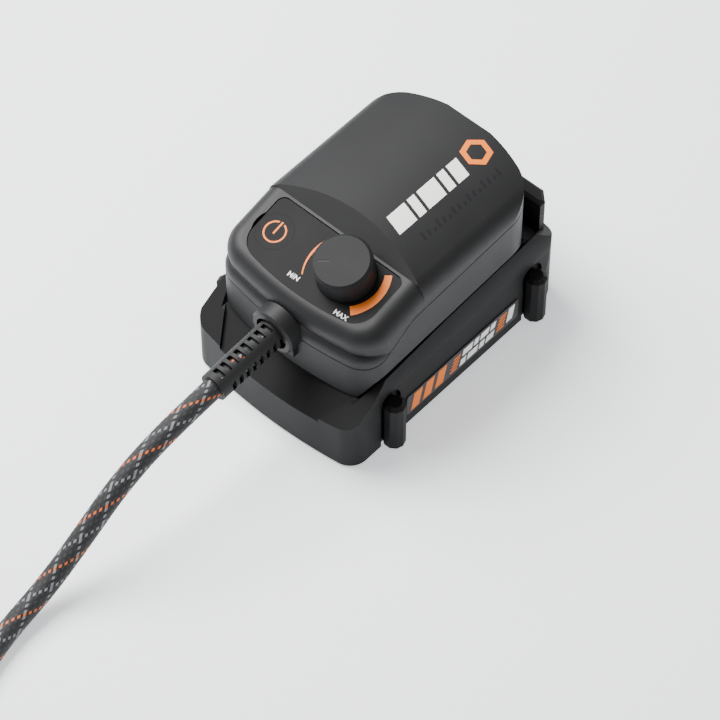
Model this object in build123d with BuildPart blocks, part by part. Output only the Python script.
from build123d import *
import os
from math import cos, pi, radians, sin, tan

# Battery-powered speed-control hub of a rotary hobby tool.
#
# Millimetres, +Z up, -Y towards the cord, origin under the pack on its resting face,
# midway between the front and the rear pair of corner bosses.

os.makedirs("parts", exist_ok=True)

# ---- driving dimensions: battery pack -------------------------------------------------
PACK_HALF = 38.4          # half the width over the label faces
PACK_FRONT = -60.8
PACK_REAR = 55.0
PACK_NOSE_CORNER = 7.5     # plan radius of the two front corners
PACK_TAIL_CORNER = 10.0
PACK_WALL = 2.2
TRAY_TOP = 5.0            # parting line between the lower and the upper shell
LABEL_TOP = 17.5          # top of the flat label face
LABEL_DEPTH = 0.4
WING_TOP = 37.0           # shoulder ridge beside the hub, at y = 0
REAR_WALL_TOP = 49.4
REAR_WALL_HALF = 32.8
REAR_WALL_FRONT = 47.0
CHANNEL_PITCH = 0.06      # rise of the channel per millimetre towards the rear
CHANNEL_FLOOR = 30.1      # channel floor at y = 0
BOSS_X = 40.0
BOSS_Y = 37.9
BOSS_R = 4.0
BOSS_TOP = 24.0
NOTCH_LENGTH = 40.0
BOSS_BACK = 36.6          # flat back of each boss, on the floor of its notch
CELL_R = 9.2
CELL_LENGTH = 65.0
CELL_PITCH = 19.0
CELL_Z = 12.4

# ---- driving dimensions: hub ----------------------------------------------------------
HUB_HALF = 36.4
HUB_FRONT = -51.0
HUB_REAR = 46.0
HUB_WALL = 2.4
HUB_GAP = 0.6             # running gap between the hub's underside and the channel
ARCH_TOP = 72.0           # crown of the arched roof
ARCH_FOOT = 65.0          # height where the roof's arc would meet the upright wall
ARCH_SHOULDER = 7.5       # radius between roof and wall
LEDGE_TOP = 50.0          # top of the front wall, below the control deck
DECK_FRONT = -51.4        # front of the tilted control deck at its top
DECK_REAR = 3.4           # how far the deck runs behind the panel's rear seam
DECK_EDGE = 6.5           # radius along the deck's edges
PANEL_BACK = -20.4        # rear seam of the control panel
PANEL_BACK_Z = 65.6
PANEL_TILT = 14.3         # degrees, nose down
PANEL_HALF = 28.4
PANEL_FRONT = -45.5
SEAM_FRONT = 43.6         # height of the housing seam around the front
SEAM_SIDE = 55.0          # height of the seam on the side, just behind the step
SEAM_REAR = 59.8

# ---- driving dimensions: controls and cord --------------------------------------------
KNOB_X = 10.6
KNOB_Y = -30.2
KNOB_R = 10.8
KNOB_HEIGHT = 10.4
SHAFT_R = 3.0
KEY_X = -21.0
KEY_Y = -32.6
KEY_R = 7.0
KEY_GAP = 0.05
KEY_TRAVEL = 0.6
CORD_R = 4.0
CORD_X = -1.5
CORD_Z = 44.4
RELIEF_TILT = 4.5         # degrees that the strain relief points down
RELIEF_LENGTH = 30.0
COIL_CENTRE = (-32.0, -254.5)
COIL_INNER = 35.5
COIL_OUTER = 52.6
COIL_HEIGHT = 16.5

# ---- frames of the tilted control panel and of the cord exit --------------------------
PANEL_SLOPE = tan(radians(PANEL_TILT))


def panel_z(y):
    """Height of the control panel's face at a depth y."""
    return PANEL_BACK_Z + PANEL_SLOPE * (y - PANEL_BACK)


def panel_plane(x, y, depth=0.0):
    """Plane on the panel's face at (x, y), sunk by depth along its normal."""
    face = Plane(origin=(x, y, panel_z(y)), x_dir=(1, 0, 0),
                 z_dir=(0, -sin(radians(PANEL_TILT)), cos(radians(PANEL_TILT))))
    return face.offset(-depth)


cord_direction = Vector(0, -cos(radians(RELIEF_TILT)), -sin(radians(RELIEF_TILT)))
cord_plane = Plane(origin=(CORD_X, HUB_FRONT, CORD_Z), x_dir=(1, 0, 0), z_dir=cord_direction)


def finish(builder, label):
    """Label a finished piece and write its STEP file."""
    builder.part.label = label
    export_step(builder.part, f"parts/{label}.step")


# ---- shared outlines ------------------------------------------------------------------
def pack_outline(inset=0.0, z=0.0):
    """Plan of the battery pack: bowed front and rear, rounded corners."""
    half = PACK_HALF - inset
    front = PACK_FRONT + inset
    rear = PACK_REAR - inset
    with BuildSketch(Plane.XY.offset(z)) as outline:
        with BuildLine():
            ThreePointArc((-half, front + 3.4), (0, front), (half, front + 3.4))
            Line((half, front + 3.4), (half, rear - 1.5))
            ThreePointArc((half, rear - 1.5), (0, rear), (-half, rear - 1.5))
            Line((-half, rear - 1.5), (-half, front + 3.4))
        make_face()
        fillet(outline.vertices().group_by(Axis.Y)[0], PACK_NOSE_CORNER - inset)
        fillet(outline.vertices().group_by(Axis.Y)[-1], PACK_TAIL_CORNER - inset)
    return outline.sketch


def hub_outline(inset=0.0, z=0.0):
    """Plan of the hub: gently bowed front, rounder rear."""
    half = HUB_HALF - inset
    front = HUB_FRONT + inset
    rear = HUB_REAR - inset
    with BuildSketch(Plane.XY.offset(z)) as outline:
        with BuildLine():
            ThreePointArc((-half, front + 4.5), (0, front), (half, front + 4.5))
            Line((half, front + 4.5), (half, rear - 8.0))
            ThreePointArc((half, rear - 8.0), (0, rear), (-half, rear - 8.0))
            Line((-half, rear - 8.0), (-half, front + 4.5))
        make_face()
        fillet(outline.vertices().group_by(Axis.Y)[0], 11.0 - inset)
        fillet(outline.vertices().group_by(Axis.Y)[-1], 16.0 - inset)
    return outline.sketch


def seam_profile(lift=0.0):
    """Region of the YZ plane below the seam between the two housings."""
    with BuildSketch(Plane.YZ.offset(-45)) as region:
        with BuildLine():
            Polyline((70, 0), (-70, 0), (-70, SEAM_FRONT + lift), (-46.5, SEAM_FRONT + lift))
            Spline((-46.5, SEAM_FRONT + lift), (-36.5, 47.2 + lift), (-30.5, 51.2 + lift),
                   (-22.0, SEAM_SIDE + lift), tangents=((1, 0), (1, 0.12)))
            Polyline((-22.0, SEAM_SIDE + lift), (70, SEAM_REAR + 1.6 + lift), (70, 0))
        make_face()
    return region.sketch


def deck_outline(inset=0.0):
    """Outline of the tilted control deck, drawn in the panel's own plane."""
    half = HUB_HALF - inset
    front = (DECK_FRONT + inset - PANEL_BACK) / cos(radians(PANEL_TILT))
    with BuildSketch(panel_plane(0, PANEL_BACK, inset)) as outline:
        with BuildLine():
            ThreePointArc((-half, front + 4.5), (0, front), (half, front + 4.5))
            Polyline((half, front + 4.5), (half, DECK_REAR), (-half, DECK_REAR), (-half, front + 4.5))
        make_face()
        fillet(outline.vertices().group_by(Axis.Y)[0], 12.0 - inset)
    return outline.sketch


def roof_side(inset=0.0):
    """Side profile of the arched roof: slanted step in front, rounded crown behind."""
    foot = PANEL_BACK + 1.2
    rear = HUB_REAR - inset
    top = ARCH_TOP + 0.4
    with BuildSketch(Plane.YZ) as region:
        with BuildLine():
            Polyline((foot, 20), (foot, panel_z(foot) - inset), (foot + 10.5, panel_z(foot) - inset + 9.2),
                     (foot + 10.5, top), (rear, top), (rear, 20), close=True)
        make_face()
        fillet(region.vertices().group_by(Axis.X)[-1].group_by(Axis.Y)[-1], 2.5)
    return region.sketch


# ---- housing forms --------------------------------------------------------------------
def arch_region(inset=0.0):
    """Region of the XZ plane under the arched roof."""
    half = HUB_HALF - inset
    with BuildSketch(Plane.XZ.offset(-70)) as region:
        with BuildLine():
            ThreePointArc((-half, ARCH_FOOT - inset), (0, ARCH_TOP - inset), (half, ARCH_FOOT - inset))
            Polyline((half, ARCH_FOOT - inset), (half, 0), (-half, 0), (-half, ARCH_FOOT - inset))
        make_face()
        fillet(region.vertices().group_by(Axis.Y)[-1], ARCH_SHOULDER - inset)
    return region.sketch


def under_bevel(inset=0.0):
    """Pitched cross-section that the lower part of the hub keeps to."""
    floor = CHANNEL_FLOOR + HUB_GAP + inset
    pitch = Vector(0, 1, CHANNEL_PITCH).normalized()
    start = Plane(origin=(0, -70, -70 * CHANNEL_PITCH), x_dir=(1, 0, 0), z_dir=pitch)
    half = HUB_HALF - inset
    with BuildSketch(start) as region:
        with BuildLine():
            Polyline((31.0 - inset, -floor), (35.0 - inset, -floor - 7.0), (half + 1, -floor - 10.0),
                     (half + 1, -95), (-half - 1, -95), (-half - 1, -floor - 10.0),
                     (-35.0 + inset, -floor - 7.0), (-31.0 + inset, -floor), close=True)
        make_face()
    return region.sketch


def hub_form(inset=0.0):
    """Whole outer body of the hub, both housings together, shrunk by inset."""
    with BuildPart() as base:
        extrude(hub_outline(inset, 24.0), amount=LEDGE_TOP - inset - 24.0)
        fillet(base.faces().sort_by(Axis.Z)[-1].edges(), 4.0 - 0.5 * inset)
    with BuildPart() as deck:
        extrude(deck_outline(inset), amount=-34)
        fillet(deck.faces().sort_by(Axis.Z)[-1].edges().filter_by(
            lambda edge: edge.center().Y < -DECK_REAR + PANEL_BACK - 0.2), DECK_EDGE - inset)
    with BuildPart() as roof:
        extrude(hub_outline(inset, 24.0), amount=60)
        extrude(arch_region(inset), amount=140, both=True, mode=Mode.INTERSECT)
        extrude(roof_side(inset), amount=60, both=True, mode=Mode.INTERSECT)
    with BuildPart() as form:
        add(base.part)
        add(deck.part)
        add(roof.part)
        extrude(under_bevel(inset), amount=140, mode=Mode.INTERSECT)
    return form.part


def slab(x_size, y_size, z_size, centre, mode=Mode.ADD):
    """Box with its centre at a point, put into the part being built."""
    with Locations(centre):
        Box(x_size, y_size, z_size, mode=mode)


def rod(radius, length, foot, mode=Mode.ADD):
    """Upright cylinder that starts at foot, put into the part being built."""
    with Locations(foot):
        Cylinder(radius, length, align=(Align.CENTER, Align.CENTER, Align.MIN), mode=mode)


# ---- battery pack: lower shell --------------------------------------------------------
boss_spots = [(sx * BOSS_X, sy * BOSS_Y) for sx in (-1, 1) for sy in (-1, 1)]


def boss_notches():
    """Arch-topped notches in the pack's sides, one behind each corner boss."""
    with BuildPart() as notches:
        for x, y in boss_spots:
            side = 1 if x > 0 else -1
            with BuildSketch(Plane(origin=(side * BOSS_BACK, y, 0), x_dir=(0, side, 0), z_dir=(side, 0, 0))):
                with Locations((0, BOSS_TOP + 3.0 - NOTCH_LENGTH / 2)):
                    SlotOverall(NOTCH_LENGTH, 10.4, rotation=90)
            extrude(amount=12)
    return notches.part


def boss_posts(low, high, end_chamfer_top):
    """The part of the four corner bosses between two heights, flat against the notches."""
    with BuildPart() as posts:
        for x, y in boss_spots:
            with BuildSketch(Plane.XY.offset(low)):
                with Locations((x, y)):
                    RegularPolygon(BOSS_R + 0.15, 10)
            extrude(amount=high - low)
        ends = posts.faces().sort_by(Axis.Z)
        chamfer((ends[-4:] if end_chamfer_top else ends[:4]).edges(), 1.4)
        for side in (-1, 1):
            slab(20.0, 120.0, 80.0, (side * (BOSS_BACK - 10.0), 0, 20.0), mode=Mode.SUBTRACT)
        for x, y in boss_spots:
            rod(1.3, 16.0, (x, y, low - 1.0), mode=Mode.SUBTRACT)
    return posts


notch_cut = boss_notches()

with BuildPart() as battery_lower_shell:
    extrude(pack_outline(0.0, 0.0), amount=TRAY_TOP)
    chamfer(battery_lower_shell.faces().sort_by(Axis.Z)[0].edges(), 1.0)
    extrude(pack_outline(PACK_WALL, 2.0), amount=TRAY_TOP, mode=Mode.SUBTRACT)
    add(notch_cut, mode=Mode.SUBTRACT)
    add(boss_posts(0.0, TRAY_TOP, False).part)
    for x, y in boss_spots:
        side = 1 if x > 0 else -1
        slab(2.6, 12.0, TRAY_TOP - 1.0, (side * (BOSS_BACK - 1.3), y, TRAY_TOP / 2 + 0.5))
        rod(2.6, 1.8, (x, y, -0.1), mode=Mode.SUBTRACT)
finish(battery_lower_shell, "battery_lower_shell")


# ---- battery pack: upper shell --------------------------------------------------------
def pack_side_profile():
    """Side view of the upper shell: nose, then wings that rise to the rear."""
    with BuildSketch(Plane.YZ) as region:
        with BuildLine():
            Polyline((-63, TRAY_TOP), (-63, 18.5), (-58.5, 21.5), (-39, WING_TOP - 39 * CHANNEL_PITCH),
                     (41, WING_TOP + 41 * CHANNEL_PITCH), (57, 27.5), (57, TRAY_TOP), close=True)
        make_face()
        along = region.vertices().group_by(Axis.X)
        fillet(along[1], 7.0)
        fillet(along[2], 16.0)
        fillet(along[3], 9.0)
    return region.sketch


def pack_section():
    """Cross-section of the upper shell: flat label faces, shoulders that roll inwards."""
    with BuildSketch(Plane.XZ.offset(-70)) as region:
        with BuildLine():
            for side in (-1, 1):
                Polyline((0, 0), (side * 39.5, 0), (side * 39.5, LABEL_TOP), (side * PACK_HALF, LABEL_TOP),
                         (side * 37.8, 27.0))
                ThreePointArc((side * 37.8, 27.0), (side * 36.9, 33.6), (side * 34.0, 39.6))
                Line((side * 34.0, 39.6), (side * 34.0, 44))
            Line((-34, 44), (34, 44))
        make_face()
    return region.sketch


def channel_region():
    """Pitched cross-section of the channel that the hub slides in."""
    pitch = Vector(0, 1, CHANNEL_PITCH).normalized()
    start = Plane(origin=(0, -75, -75 * CHANNEL_PITCH), x_dir=(1, 0, 0), z_dir=pitch)
    with BuildSketch(start) as region:
        with BuildLine():
            Polyline((31.6, -CHANNEL_FLOOR), (36.0, -CHANNEL_FLOOR - 7.3),
                     (40, -CHANNEL_FLOOR - 9.0), (40, -95), (-40, -95), (-40, -CHANNEL_FLOOR - 9.0),
                     (-36.0, -CHANNEL_FLOOR - 7.3),
                     (-31.6, -CHANNEL_FLOOR), close=True)
        make_face()
    return region.sketch


def channel_tool():
    """What the hub's channel takes out of the shell, in front of the rear wall."""
    with BuildPart() as tool:
        extrude(channel_region(), amount=160)
        with BuildSketch(Plane.XY.offset(20)):
            with Locations((0, (REAR_WALL_FRONT - 80) / 2)):
                Rectangle(100, REAR_WALL_FRONT + 80)
        extrude(amount=60, mode=Mode.INTERSECT)
    return tool.part


def nose_tool():
    """Sloping deck in front of the hub, narrower towards the nose."""
    with BuildPart() as tool:
        with BuildSketch(Plane.YZ.offset(-33)):
            Polygon((-66, 14.6), (-47.5, 27.3), (-47.5, 60), (-66, 60), align=None)
        extrude(amount=66)
        with BuildSketch(Plane.XY):
            Polygon((-32, -47), (32, -47), (20.5, -64), (-20.5, -64), align=None)
        extrude(amount=60, mode=Mode.INTERSECT)
    return tool.part


RAIL_NECK = 18.0          # half-width of the rail under its lips
RAIL_HEAD = 22.0
RAIL_FRONT = -28.0
RAIL_LIP = 36.6           # underside of the rail's lips
RAIL_TOP = 41.0
SLOT_XS = (-12.0, -4.0, 4.0, 12.0)
CAVITY_TOP = 23.0
LATCH_XS = (-27.0, 27.0)
PRONG_Y = 38.0
BUTTON_HALF = 15.0
SPRING_Y = 51.0
SPRING_FOOT = 12.0

with BuildPart() as battery_upper_shell:
    extrude(pack_outline(0.0, TRAY_TOP), amount=60)
    extrude(pack_side_profile(), amount=60, both=True, mode=Mode.INTERSECT)
    extrude(pack_section(), amount=140, both=True, mode=Mode.INTERSECT)
    add(channel_tool(), mode=Mode.SUBTRACT)
    add(nose_tool(), mode=Mode.SUBTRACT)
    # wall behind the hub
    with BuildSketch(Plane.XY.offset(27)):
        with BuildLine():
            Polyline((-REAR_WALL_HALF, REAR_WALL_FRONT), (REAR_WALL_HALF, REAR_WALL_FRONT),
                     (REAR_WALL_HALF, 49.6), (REAR_WALL_HALF - 4, 53.4), (4 - REAR_WALL_HALF, 53.4),
                     (-REAR_WALL_HALF, 49.6), close=True)
        make_face()
    extrude(amount=REAR_WALL_TOP - 27)
    chamfer(battery_upper_shell.faces().sort_by(Axis.Z)[-1].edges(), 1.2)
    # T-shaped rail that carries the hub
    with BuildSketch(Plane.XZ.offset(-REAR_WALL_FRONT)):
        Polygon((-RAIL_NECK, 26), (RAIL_NECK, 26), (RAIL_NECK, RAIL_LIP), (RAIL_HEAD, RAIL_LIP),
                (RAIL_HEAD, RAIL_TOP), (-RAIL_HEAD, RAIL_TOP), (-RAIL_HEAD, RAIL_LIP),
                (-RAIL_NECK, RAIL_LIP), align=None)
    extrude(amount=REAR_WALL_FRONT - RAIL_FRONT)
    # inside: cells, board, latch, spring pocket
    slab(2 * 34.0, 98.6, CAVITY_TOP - 1, (0, -0.6, (CAVITY_TOP + 1) / 2), mode=Mode.SUBTRACT)
    slab(30.0, 52.0, 20.0, (0, 2.0, CAVITY_TOP + 5.0), mode=Mode.SUBTRACT)
    for x in SLOT_XS:
        slab(2.2, 16.0, 5.4, (x, RAIL_FRONT + 6.0, 36.5), mode=Mode.SUBTRACT)
    slab(2 * 31.0, 18.1, 7.6, (0, 43.65, 27.2), mode=Mode.SUBTRACT)
    for x in LATCH_XS:
        slab(6.8, 6.8, 9.0, (x, PRONG_Y, 32.0), mode=Mode.SUBTRACT)
    slab(2 * BUTTON_HALF + 1.0, 8.0, 24.4, (0, 54.6, 33.2), mode=Mode.SUBTRACT)
    rod(2.6, 16.0, (0, SPRING_Y, SPRING_FOOT), mode=Mode.SUBTRACT)
    add(notch_cut, mode=Mode.SUBTRACT)
finish(battery_upper_shell, "battery_upper_shell")

# ---- battery pack: outside pieces -----------------------------------------------------
corner_bosses = boss_posts(TRAY_TOP, BOSS_TOP, True)
finish(corner_bosses, "corner_bosses")

with BuildPart() as battery_screws:
    for x, y in boss_spots:
        rod(1.25, 16.0, (x, y, 1.0))
        rod(2.4, 1.4, (x, y, 0.2))
        rod(0.9, 0.8, (x, y, 0.0), mode=Mode.SUBTRACT)
finish(battery_screws, "battery_screws")


def label_plate(side):
    """Thin moulded label plate lying on one side face, between the two bosses."""
    with BuildPart() as plate:
        with BuildSketch(Plane(origin=(side * PACK_HALF, 0, 0), x_dir=(0, side, 0), z_dir=(side, 0, 0))):
            with Locations((0, 6.0 + 5.6)):
                RectangleRounded(60.0, 10.4, 1.2)
        extrude(amount=LABEL_DEPTH)
    return plate


side_label_left = label_plate(-1)
finish(side_label_left, "side_label_left")
side_label_right = label_plate(1)
finish(side_label_right, "side_label_right")

# ---- battery pack: cells --------------------------------------------------------------
cell_ys = [CELL_PITCH * (i - 2) for i in range(5)]


def cell_rods(radius, half_length, reach):
    """Cylinders along X on the axes of the cells, from reach to half_length on both sides."""
    with BuildPart() as rods:
        for y in cell_ys:
            with BuildSketch(Plane(origin=(reach, y, CELL_Z), z_dir=(1, 0, 0))):
                Circle(radius)
            extrude(amount=half_length - reach)
    return rods.part


with BuildPart() as battery_cells:
    add(cell_rods(CELL_R, CELL_LENGTH / 2, -CELL_LENGTH / 2))
    chamfer(battery_cells.faces().filter_by(Axis.X).edges(), 0.6)
finish(battery_cells, "battery_cells")


def cell_holder(side):
    """Ladder-shaped frame that keeps one end of the five cells apart."""
    with BuildPart() as holder:
        with BuildSketch(Plane(origin=(side * 22.0, 0, 0), x_dir=(0, side, 0), z_dir=(side, 0, 0))):
            with Locations((0, CELL_Z)):
                RectangleRounded(97.4, 20.2, 3.0)
            with Locations([(y, CELL_Z) for y in cell_ys]):
                Circle(CELL_R + 0.05, mode=Mode.SUBTRACT)
        extrude(amount=7.0)
    return holder


cell_holder_left = cell_holder(-1)
finish(cell_holder_left, "cell_holder_left")
cell_holder_right = cell_holder(1)
finish(cell_holder_right, "cell_holder_right")

with BuildPart() as cell_strips:
    strip_x = CELL_LENGTH / 2
    for y_centre, length, side in ((-28.5, 27, 1), (9.5, 27, 1), (38, 8, 1), (-9.5, 27, -1), (28.5, 27, -1),
                                   (-38, 8, -1)):
        x = strip_x if side > 0 else -strip_x - 0.3
        slab(0.3, length, 7.0, (x + 0.15, y_centre, CELL_Z))
finish(cell_strips, "cell_strips")

with BuildPart() as battery_board:
    slab(27.0, 44.0, 1.6, (0, 2.0, CAVITY_TOP + 2.4))
    slab(8.0, 8.0, 1.2, (-5, 10.0, CAVITY_TOP + 3.8))
    slab(5.0, 6.0, 2.4, (7, 12.0, CAVITY_TOP + 4.4))
finish(battery_board, "battery_board")

BLADE_Z = 36.5
with BuildPart() as battery_terminals:
    for x in SLOT_XS:
        for leaf in (-0.8, 0.8):
            slab(0.3, 7.0, 4.6, (x + leaf, RAIL_FRONT + 8.6, BLADE_Z))
        slab(1.9, 1.0, 4.6, (x, RAIL_FRONT + 12.6, BLADE_Z))
        slab(0.8, 1.0, 10.0, (x, RAIL_FRONT + 12.6, BLADE_Z - 5.3))
finish(battery_terminals, "battery_terminals")

# ---- battery pack: latch --------------------------------------------------------------
LATCH_TRAVEL = 2.6
BRIDGE_BOTTOM = 26.2
BRIDGE_TOP = 29.6

with BuildPart() as latch_slider:
    slab(2 * 30.4, 15.6, BRIDGE_TOP - BRIDGE_BOTTOM, (0, 44.4, (BRIDGE_TOP + BRIDGE_BOTTOM) / 2))
    for x in LATCH_XS:
        prong_top = CHANNEL_FLOOR + HUB_GAP + CHANNEL_PITCH * (PRONG_Y - 3.0) - 0.3
        slab(6.0, 6.0, prong_top - BRIDGE_BOTTOM, (x, PRONG_Y, (prong_top + BRIDGE_BOTTOM) / 2))
    rod(1.4, 2.0, (0, SPRING_Y, BRIDGE_BOTTOM - 2.0))
    slab(20.0, 1.4, 7.0, (0, 51.5, BRIDGE_TOP + 0.1))
finish(latch_slider, "latch_slider")

with BuildPart() as release_button:
    slab(2 * BUTTON_HALF, 4.3, 15.0, (0, 54.35, 35.2))
    fillet(release_button.edges().filter_by(Axis.Z), 1.2)
    fillet(release_button.faces().sort_by(Axis.Y)[-1].edges().filter_by(Axis.X), 1.0)
    for z in (31.0, 33.2, 35.4, 37.6):
        slab(22.0, 1.0, 0.9, (0, 56.8, z))
finish(release_button, "release_button")

with BuildPart() as latch_spring:
    rod(2.4, BRIDGE_BOTTOM - SPRING_FOOT - 0.2, (0, SPRING_Y, SPRING_FOOT + 0.1))
    rod(1.6, 30.0, (0, SPRING_Y, SPRING_FOOT - 5.0), mode=Mode.SUBTRACT)
finish(latch_spring, "latch_spring")

# ---- hub: lower housing ---------------------------------------------------------------
hub_outer = hub_form()
hub_inner = hub_form(HUB_WALL)
HUB_FLOOR = 43.2          # inner floor above the rail channel
FRONT_BAY = -34.0         # the bay in front of it reaches down to the underside
SLOT_GAP = 0.5            # running gap round the rail
HUB_SCREWS = ((-28.5, -39.0), (28.5, -39.0), (-27.5, 28.0), (27.5, 28.0))
POST_XS = (CORD_X - 8.5, CORD_X + 8.5)
POST_Y = -40.8
CLAMP_Z = 49.5


def cord_rod(radius, start, stop, mode=Mode.ADD):
    """Cylinder on the cord's exit axis, measured outwards from the front wall."""
    with Locations(cord_plane.offset(start)):
        Cylinder(radius, stop - start, align=(Align.CENTER, Align.CENTER, Align.MIN), mode=mode)


with BuildPart() as lower_bay:
    add(hub_inner)
    extrude(seam_profile(30.0), amount=90, mode=Mode.INTERSECT)
    with BuildSketch(Plane.YZ.offset(-45)):
        Polygon((-70, 31.4), (FRONT_BAY, 31.4), (FRONT_BAY, HUB_FLOOR), (60, HUB_FLOOR), (60, 90), (-70, 90),
                align=None)
    extrude(amount=90, mode=Mode.INTERSECT)

with BuildPart() as hub_lower_housing:
    add(hub_outer)
    extrude(seam_profile(), amount=90, mode=Mode.INTERSECT)
    add(lower_bay.part, mode=Mode.SUBTRACT)
    with BuildSketch(Plane.XZ.offset(-60)):
        Polygon((-RAIL_NECK - SLOT_GAP, 20), (RAIL_NECK + SLOT_GAP, 20),
                (RAIL_NECK + SLOT_GAP, RAIL_LIP - SLOT_GAP), (RAIL_HEAD + SLOT_GAP, RAIL_LIP - SLOT_GAP),
                (RAIL_HEAD + SLOT_GAP, RAIL_TOP + SLOT_GAP),
                (-RAIL_HEAD - SLOT_GAP, RAIL_TOP + SLOT_GAP), (-RAIL_HEAD - SLOT_GAP, RAIL_LIP - SLOT_GAP),
                (-RAIL_NECK - SLOT_GAP, RAIL_LIP - SLOT_GAP), align=None)
    extrude(amount=60 - RAIL_FRONT + 2.5, mode=Mode.SUBTRACT)
    for x, y in HUB_SCREWS[:2]:
        rod(4.2, 13.0, (x, y, 30.4))
    for x in POST_XS:
        rod(2.6, CLAMP_Z - 30.4, (x, POST_Y, 30.4))
        rod(1.0, 8.0, (x, POST_Y, CLAMP_Z - 7.0), mode=Mode.SUBTRACT)
    for x, y in ((-21, -22), (21, -22), (-21, 32), (21, 32)):
        rod(2.0, 1.6, (x, y, HUB_FLOOR - 0.2))
    slab(33.0, 12.0, 7.0, (0, -34.0, BLADE_Z), mode=Mode.SUBTRACT)
    for x, y in HUB_SCREWS:
        rod(1.6, 40.0, (x, y, 20.0), mode=Mode.SUBTRACT)
        rod(3.0, 14.0, (x, y, 20.0), mode=Mode.SUBTRACT)
    cord_rod(8.1, -6.0, 6.0, mode=Mode.SUBTRACT)
    for x in LATCH_XS:
        slab(7.0, 8.0, 3.0, (x, PRONG_Y, 33.9), mode=Mode.SUBTRACT)
finish(hub_lower_housing, "hub_lower_housing")

# ---- hub: upper housing ---------------------------------------------------------------
SEAM_GAP = 0.45
PANEL_THICK = 1.2
PANEL_GAP = 0.25


def panel_outline(grow=0.0):
    """Outline of the control panel in its own plane, larger than nominal by grow."""
    length = (PANEL_BACK - PANEL_FRONT) / cos(radians(PANEL_TILT))
    with BuildSketch() as outline:
        with BuildLine():
            half = PANEL_HALF + grow
            Polyline((-half, -length + 3.5 - grow), (-half, grow), (half, grow), (half, -length + 3.5 - grow))
            ThreePointArc((half, -length + 3.5 - grow), (0, -length - grow), (-half, -length + 3.5 - grow))
        make_face()
        fillet(outline.vertices().group_by(Axis.Y)[0], 8.5 + grow)
        fillet(outline.vertices().group_by(Axis.Y)[-1], 3.0 + grow)
    return outline.sketch


with BuildPart() as screw_posts:
    for x, y in HUB_SCREWS:
        rod(3.3, 60.0, (x, y, HUB_FLOOR + 0.3))
    add(hub_outer, mode=Mode.INTERSECT)

with BuildPart() as hub_upper_housing:
    add(hub_outer)
    extrude(seam_profile(SEAM_GAP), amount=90, mode=Mode.SUBTRACT)
    add(hub_inner, mode=Mode.SUBTRACT)
    add(screw_posts.part)
    with BuildSketch(panel_plane(0, PANEL_BACK)):
        add(panel_outline(PANEL_GAP))
    extrude(amount=-PANEL_THICK, mode=Mode.SUBTRACT)
    for x, y in HUB_SCREWS:
        rod(1.25, 12.0, (x, y, 42.0), mode=Mode.SUBTRACT)
    with Locations(panel_plane(KNOB_X, KNOB_Y)):
        Cylinder(4.3, 12, mode=Mode.SUBTRACT)
    with Locations(panel_plane(KEY_X, KEY_Y)):
        Cylinder(KEY_R + 1.6, 12, mode=Mode.SUBTRACT)
    cord_rod(8.1, -6.0, 6.0, mode=Mode.SUBTRACT)
finish(hub_upper_housing, "hub_upper_housing")

PANEL_SHIFT = 0.17        # the panel is pushed forward and right, which closes those seams

with BuildPart() as control_panel:
    with BuildSketch(panel_plane(0, PANEL_BACK)):
        with Locations((PANEL_SHIFT, -PANEL_SHIFT)):
            add(panel_outline())
    extrude(amount=-PANEL_THICK)
    with Locations(panel_plane(KNOB_X, KNOB_Y)):
        Cylinder(3.7, 12, mode=Mode.SUBTRACT)
    with Locations(panel_plane(KEY_X, KEY_Y)):
        Cylinder(KEY_R + KEY_GAP, 12, mode=Mode.SUBTRACT)
finish(control_panel, "control_panel")

with BuildPart() as hub_screws:
    for x, y in HUB_SCREWS:
        rod(2.7, 1.5, (x, y, 32.45))
        rod(1.2, 18.0, (x, y, 33.0))
        rod(1.2, 0.9, (x, y, 32.4), mode=Mode.SUBTRACT)
finish(hub_screws, "hub_screws")


# ---- hub: controls --------------------------------------------------------------------
def turned(x, y, top, bottom, radius, mode=Mode.ADD):
    """Cylinder square to the panel between two depths below its face."""
    with Locations(panel_plane(x, y, bottom)):
        Cylinder(radius, bottom - top, align=(Align.CENTER, Align.CENTER, Align.MIN), mode=mode)


BOARD_TOP = 9.6           # depth of the small board under the panel
POT_R = 8.4
BUSHING_R = 3.5
NUT_R = 5.2

def power_mark():
    """Ring with an upright bar through its rear side, drawn on the key's face."""
    with BuildSketch() as mark:
        Circle(4.35)
        Circle(3.7, mode=Mode.SUBTRACT)
        with Locations((0, 4.0)):
            Rectangle(2.2, 2.4, mode=Mode.SUBTRACT)
        with Locations((0, 1.8)):
            Rectangle(0.7, 5.4)
    return mark.sketch


MARK_DEPTH = 0.15

with BuildPart() as power_button:
    turned(KEY_X, KEY_Y, 0.0, 1.3, KEY_R)
    turned(KEY_X, KEY_Y, 1.25, 2.2, KEY_R + 1.0)
    turned(KEY_X, KEY_Y, 2.1, 3.9, 1.8)
    with BuildSketch(panel_plane(KEY_X, KEY_Y)):
        add(power_mark())
    extrude(amount=-MARK_DEPTH, mode=Mode.SUBTRACT)
finish(power_button, "power_button")

with BuildPart() as power_symbol:
    with BuildSketch(panel_plane(KEY_X, KEY_Y)):
        add(power_mark())
    extrude(amount=-MARK_DEPTH)
finish(power_symbol, "power_symbol")

with BuildPart() as tact_switch:
    turned(KEY_X, KEY_Y, 4.6, 6.8, 1.6)
    with BuildSketch(panel_plane(KEY_X, KEY_Y, BOARD_TOP)):
        Rectangle(6.0, 6.0)
    extrude(amount=BOARD_TOP - 6.6)
finish(tact_switch, "tact_switch")

with BuildPart() as control_board:
    with BuildSketch(panel_plane(-5.0, -29.6, BOARD_TOP)):
        Rectangle(46.0, 16.8)
    extrude(amount=-1.6)
finish(control_board, "control_board")

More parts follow.
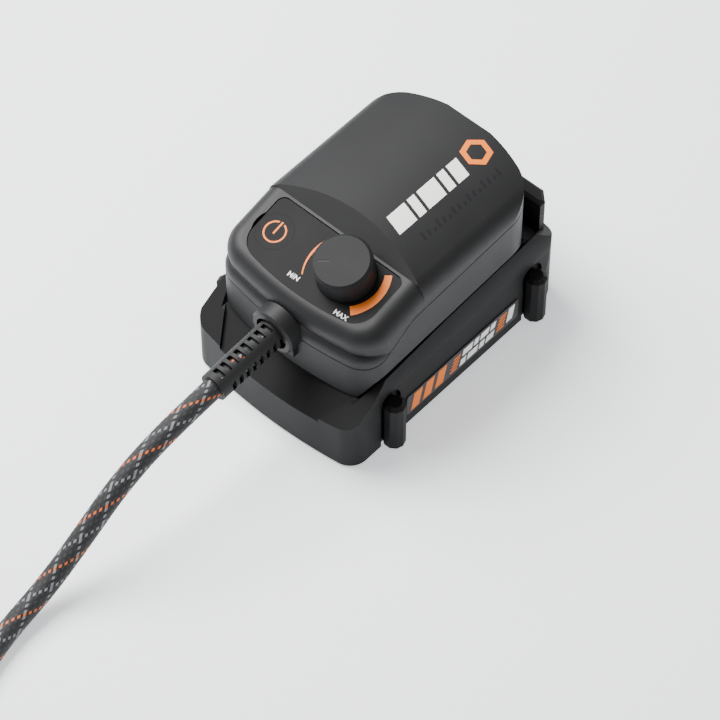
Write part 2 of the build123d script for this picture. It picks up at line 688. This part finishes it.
with BuildPart() as potentiometer_body:
    turned(KNOB_X, KNOB_Y, 2.55, BOARD_TOP, POT_R)
    turned(KNOB_X, KNOB_Y, -2.6, 3.0, BUSHING_R)
    turned(KNOB_X, KNOB_Y, -3.0, BOARD_TOP - 1.5, SHAFT_R + 0.05, mode=Mode.SUBTRACT)
finish(potentiometer_body, "potentiometer_body")

with BuildPart() as pot_nut:
    with BuildSketch(panel_plane(KNOB_X, KNOB_Y)):
        RegularPolygon(NUT_R, 6)
        Circle(BUSHING_R + 0.05, mode=Mode.SUBTRACT)
    extrude(amount=1.8)
finish(pot_nut, "pot_nut")

with BuildPart() as potentiometer_shaft:
    turned(KNOB_X, KNOB_Y, -8.4, BOARD_TOP - 1.6, SHAFT_R)
    with Locations(panel_plane(KNOB_X, KNOB_Y, -6.9)):
        Box(1.0, 8.0, 3.2, mode=Mode.SUBTRACT)
finish(potentiometer_shaft, "potentiometer_shaft")

POINTER_ANGLE = 216.0     # direction of the pointer at the slowest setting


def pointer_groove():
    """Short radial tick near the knob's rim."""
    with BuildSketch() as tick:
        with PolarLocations(6.4, 1, start_angle=POINTER_ANGLE):
            Rectangle(4.4, 0.7)
    return tick.sketch


with BuildPart() as speed_knob:
    turned(KNOB_X, KNOB_Y, -KNOB_HEIGHT, -0.4, KNOB_R)
    chamfer(speed_knob.edges().group_by(Axis.Z)[-1], 1.0)
    turned(KNOB_X, KNOB_Y, -3.4, 0.0, KNOB_R - 1.9, mode=Mode.SUBTRACT)
    turned(KNOB_X, KNOB_Y, -8.6, 0.0, SHAFT_R, mode=Mode.SUBTRACT)
    with BuildSketch(panel_plane(KNOB_X, KNOB_Y, -KNOB_HEIGHT)):
        add(pointer_groove())
    extrude(amount=-0.5, mode=Mode.SUBTRACT)
finish(speed_knob, "speed_knob")

with BuildPart() as knob_pointer:
    with BuildSketch(panel_plane(KNOB_X, KNOB_Y, -KNOB_HEIGHT + 0.15)):
        add(pointer_groove())
    extrude(amount=-0.35)
finish(knob_pointer, "knob_pointer")

# ---- hub: electronics -----------------------------------------------------------------
BOARD_Z = HUB_FLOOR + 1.4
BOARD_FACE = BOARD_Z + 1.6

with BuildPart() as motor_board:
    slab(45.0, 60.0, 1.6, (0, 5.0, BOARD_Z + 0.8))
    fillet(motor_board.edges().filter_by(Axis.Z), 2.0)
finish(motor_board, "motor_board")

with BuildPart() as motor_capacitor:
    with Locations((-8.0, 6.0, BOARD_FACE + 8.0)):
        Cylinder(8.0, 26.0, rotation=(0, 90, 0))
    fillet(motor_capacitor.edges(), 1.0)
finish(motor_capacitor, "motor_capacitor")

with BuildPart() as heat_sink:
    slab(40.0, 9.0, 2.0, (0, 27.0, BOARD_FACE + 1.0))
    for i in range(9):
        slab(1.2, 9.0, 14.0, (4.8 * (i - 4), 27.0, BOARD_FACE + 7.0))
finish(heat_sink, "heat_sink")

with BuildPart() as power_transistors:
    for x in (-11.0, 0.0, 11.0):
        slab(10.0, 4.4, 9.0, (x, 20.3, BOARD_FACE + 7.0))
        slab(10.0, 1.2, 14.0, (x, 21.9, BOARD_FACE + 7.4))
        for lead in (-2.5, 0.0, 2.5):
            slab(0.8, 0.6, 3.0, (x + lead, 20.3, BOARD_FACE + 1.5))
finish(power_transistors, "power_transistors")

with BuildPart() as terminal_block:
    slab(22.0, 8.0, 9.0, (0, -12.0, BOARD_FACE + 4.5))
    for x in (-8.0, -2.7, 2.7, 8.0):
        rod(1.8, 3.0, (x, -12.0, BOARD_FACE + 8.0), mode=Mode.SUBTRACT)
        slab(2.4, 3.0, 2.6, (x, -15.0, BOARD_FACE + 3.2), mode=Mode.SUBTRACT)
finish(terminal_block, "terminal_block")

with BuildPart() as contact_carrier:
    slab(32.8, 3.2, 6.8, (0, -32.3, BLADE_Z))
    for x in SLOT_XS:
        slab(0.8, 6.0, 4.0, (x, -32.3, BLADE_Z), mode=Mode.SUBTRACT)
finish(contact_carrier, "contact_carrier")

with BuildPart() as contact_blades:
    for x in SLOT_XS:
        slab(0.8, 19.6, 4.0, (x, -27.3, BLADE_Z))
        slab(0.8, 2.0, 7.0, (x, -36.1, BLADE_Z + 1.5))
finish(contact_blades, "contact_blades")

# ---- cord exit ------------------------------------------------------------------------
RELIEF_R = 5.5

with BuildPart() as cord_collar:
    cord_rod(9.3, -1.5, 4.9)
    with Locations(cord_plane.offset(-1.5)):
        Box(15.4, 10.0, 4.2, align=(Align.CENTER, Align.MAX, Align.MIN))
    chamfer(cord_collar.edges().group_by(Axis.Y)[0], 0.8)
    add(hub_outer, mode=Mode.SUBTRACT)
    cord_rod(8.0, -5.0, 1.0)
    cord_rod(RELIEF_R, -8.0, 8.0, mode=Mode.SUBTRACT)
    cord_rod(6.8, 1.2, 8.0, mode=Mode.SUBTRACT)
finish(cord_collar, "cord_collar")

with BuildPart() as strain_relief:
    cord_rod(RELIEF_R, -5.0, RELIEF_LENGTH + 4.0)
    cord_rod(7.2, -7.4, -5.0)
    cord_rod(CORD_R, -9.0, RELIEF_LENGTH + 6.0, mode=Mode.SUBTRACT)
    for i in range(8):
        with Locations(cord_plane.offset(5.0 + 3.4 * i)):
            Box(16.0, 4.6, 1.9, mode=Mode.SUBTRACT)
        with Locations(cord_plane.offset(6.7 + 3.4 * i)):
            Box(4.6, 16.0, 1.9, mode=Mode.SUBTRACT)
finish(strain_relief, "strain_relief")

with BuildPart() as cord_clamp:
    slab(23.0, 5.0, 1.8, (CORD_X, POST_Y, CLAMP_Z + 0.9))
    for x in POST_XS:
        rod(1.2, 4.0, (x, POST_Y, CLAMP_Z - 1.0), mode=Mode.SUBTRACT)
finish(cord_clamp, "cord_clamp")

with BuildPart() as clamp_screws:
    for x in POST_XS:
        rod(1.0, 7.0, (x, POST_Y, CLAMP_Z - 5.0))
        rod(1.9, 1.2, (x, POST_Y, CLAMP_Z + 1.8))
finish(clamp_screws, "clamp_screws")

# ---- cord -----------------------------------------------------------------------------
CORD_START = 9.0          # where the long run begins, inside the strain relief


def on_cord_axis(distance):
    """Point on the cord's exit axis, measured outwards from the front wall."""
    return Vector(CORD_X, HUB_FRONT, CORD_Z) + cord_direction * distance


with BuildPart() as cord_end:
    cord_rod(CORD_R, -13.0, CORD_START)
finish(cord_end, "cord_end")


def lead_path(side, rise):
    """Route of one inner lead from the cord's end up to the terminal block."""
    start = on_cord_axis(-13.1) + Vector(side, 0, rise)
    with BuildLine() as path:
        FilletPolyline(start, (side - 1.5, -35.5, BOARD_Z + 1.2 + rise),
                       (1.8 * side, -30.0, BOARD_FACE + 3.2),
                       
                       (2.67 * side, -16.2, BOARD_FACE + 3.2), radius=2.5)
    return path.line


with BuildPart() as inner_leads:
    for side, rise in ((-3.0, 0.0), (-1.0, 0.6), (1.0, 0.6), (3.0, 0.0)):
        path = lead_path(side, rise)
        with BuildSketch(Plane(origin=path @ 0, z_dir=path % 0)):
            Circle(0.8)
        sweep(path=path)
finish(inner_leads, "inner_leads")

ring_x, ring_y = COIL_CENTRE
cord_points = [on_cord_axis(CORD_START), on_cord_axis(34.2), Vector(-1.8, -112.0, 38.6),
               Vector(-2.6, -131.0, 31.0), Vector(-3.3, -149.0, 18.2), Vector(-3.8, -167.0, 7.2),
               Vector(-2.2, -190.0, CORD_R), Vector(4.6, -212.0, CORD_R), Vector(12.2, -232.6, CORD_R)]
cord_radii = []
for before, corner, after in zip(cord_points, cord_points[1:], cord_points[2:]):
    run_in = corner - before
    run_out = after - corner
    half_turn = radians(run_in.get_angle(run_out) / 2)
    cord_radii.append(0.45 * min(run_in.length, run_out.length) / tan(half_turn))
print("cord radii", [round(radius, 1) for radius in cord_radii])

with BuildPart() as power_cord:
    with BuildLine() as route:
        FilletPolyline(*cord_points, radius=cord_radii)
    with BuildSketch(Plane(origin=route.line @ 0, z_dir=route.line % 0)):
        Circle(CORD_R)
    sweep(path=route.line)
cord_length = sum(edge.length for edge in route.edges())
print("cord length", cord_length, "volume", power_cord.part.volume,
      "section x length", pi * CORD_R ** 2 * cord_length)
finish(power_cord, "power_cord")

with BuildPart() as cord_coil:
    with Locations((ring_x, ring_y, 0)):
        Cylinder(COIL_OUTER, COIL_HEIGHT, align=(Align.CENTER, Align.CENTER, Align.MIN))
        Cylinder(COIL_INNER, COIL_HEIGHT, align=(Align.CENTER, Align.CENTER, Align.MIN), mode=Mode.SUBTRACT)
    fillet(cord_coil.edges(), 3.6)
finish(cord_coil, "cord_coil")

PLUG_R = 8.0
tail_x = ring_x - 48.0
tail_start = ring_y + 16.0


def tail_rod(radius, start, length, mode=Mode.ADD):
    """Cylinder along Y on the connector's axis, from a distance past the coil."""
    with Locations(Plane(origin=(tail_x, tail_start + start, PLUG_R), z_dir=(0, 1, 0))):
        Cylinder(radius, length, align=(Align.CENTER, Align.CENTER, Align.MIN), mode=mode)


with BuildPart() as cord_tail:
    tail_rod(CORD_R, 0.0, 24.0)
finish(cord_tail, "cord_tail")

with BuildPart() as connector_relief:
    with Locations(Plane(origin=(tail_x, tail_start + 24.0, PLUG_R), z_dir=(0, 1, 0))):
        Cone(CORD_R + 1.0, PLUG_R - 1.4, 20.0, align=(Align.CENTER, Align.CENTER, Align.MIN))
    for i in range(4):
        for x in (-6.2, 6.2):
            slab(3.0, 1.8, 16.0, (tail_x + x, tail_start + 29.0 + 4.0 * i, PLUG_R), mode=Mode.SUBTRACT)
finish(connector_relief, "connector_relief")

with BuildPart() as connector_body:
    tail_rod(PLUG_R, 44.0, 34.0)
    chamfer(connector_body.edges(), 0.8)
    for i in range(6):
        with Locations(Plane(origin=(tail_x, tail_start + 49.0 + 2.6 * i, PLUG_R), z_dir=(0, 1, 0))):
            Cylinder(PLUG_R + 1.0, 1.1, mode=Mode.SUBTRACT)
            Cylinder(PLUG_R - 0.5, 1.1)
finish(connector_body, "connector_body")

with BuildPart() as connector_pins:
    for x in (-2.4, 2.4):
        for z in (-2.4, 2.4):
            with Locations(Plane(origin=(tail_x + x, tail_start + 78.0, PLUG_R + z), z_dir=(0, 1, 0))):
                Cylinder(0.8, 8.0, align=(Align.CENTER, Align.CENTER, Align.MIN))
finish(connector_pins, "connector_pins")
